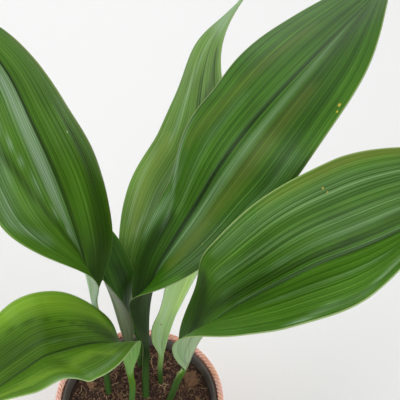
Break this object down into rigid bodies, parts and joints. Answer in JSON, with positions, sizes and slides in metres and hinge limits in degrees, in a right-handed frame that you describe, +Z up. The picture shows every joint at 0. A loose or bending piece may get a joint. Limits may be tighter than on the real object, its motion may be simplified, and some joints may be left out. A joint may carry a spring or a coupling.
{
  "type": "potted cast iron plant",
  "caption": "Leafy house plant with broad, glossy, arching lance-shaped leaves rising on stalks from peat in a dark plastic pot inside a round pink cord cover pot",
  "frame": {"origin": "Centre of the cover pot's flat underside, on the pot's axis, at the surface the pot stands on", "axes": "+Z up along the pots' axis and the row's longest extent, +X to the right of the picture, +Y away from the camera; metres in the packed row, right-handed"},
  "size_m": [0.4175, 0.3335, 0.4857],
  "materials": {
    "cover_cord": "blush and peach twisted paper cord, matte",
    "pot_plastic": "dark grey thermoformed plastic, satin",
    "peat": "brown peat with bark crumbs and fibres",
    "leaf_green": "waxy mid-green leaf, semi-gloss, parallel veins",
    "leaf_bright": "waxy yellow-green leaf, semi-gloss",
    "leaf_light": "waxy light green leaf, semi-gloss",
    "leaf_dark": "waxy dark green leaf, semi-gloss",
    "leaf_underside": "pale leaf underside, satin"
  },
  "bodies": {
    "root": {"cover_pot": "cover_cord", "nursery_pot": "pot_plastic", "soil": "peat", "leaf_left": "leaf_green", "leaf_low": "leaf_bright", "leaf_back": "leaf_light", "leaf_inner": "leaf_dark", "leaf_tall": "leaf_green", "leaf_right": "leaf_green", "leaf_pale": "leaf_underside"}
  },
  "joints": []
}
